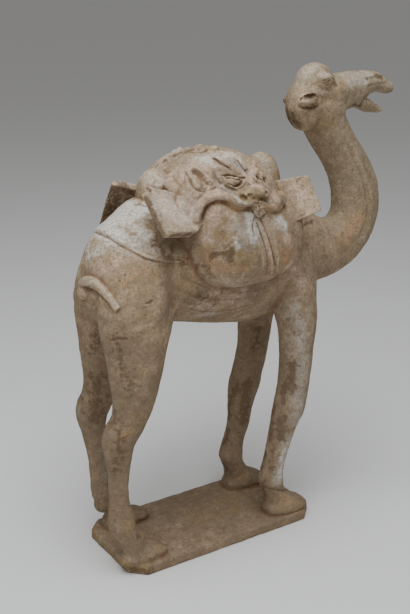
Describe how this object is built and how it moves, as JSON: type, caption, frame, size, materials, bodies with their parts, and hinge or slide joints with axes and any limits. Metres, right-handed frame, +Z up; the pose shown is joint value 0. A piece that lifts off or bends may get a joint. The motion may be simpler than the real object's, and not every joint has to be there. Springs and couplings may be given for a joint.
{
  "type": "terracotta camel figure",
  "caption": "Standing pack camel in unglazed fired clay, head raised, with a monster-mask saddlebag between its humps, on a thin slab with cut corners.",
  "frame": {"origin": "centre of the slab's underside", "axes": "+X the way the camel faces, +Y its left side, +Z up"},
  "size_m": [0.465, 0.1856, 0.594],
  "materials": {
    "terracotta": "matt unglazed buff clay, with worn pale slip and brown burial stains"
  },
  "bodies": {
    "root": {"camel_figure": "terracotta"}
  },
  "joints": []
}
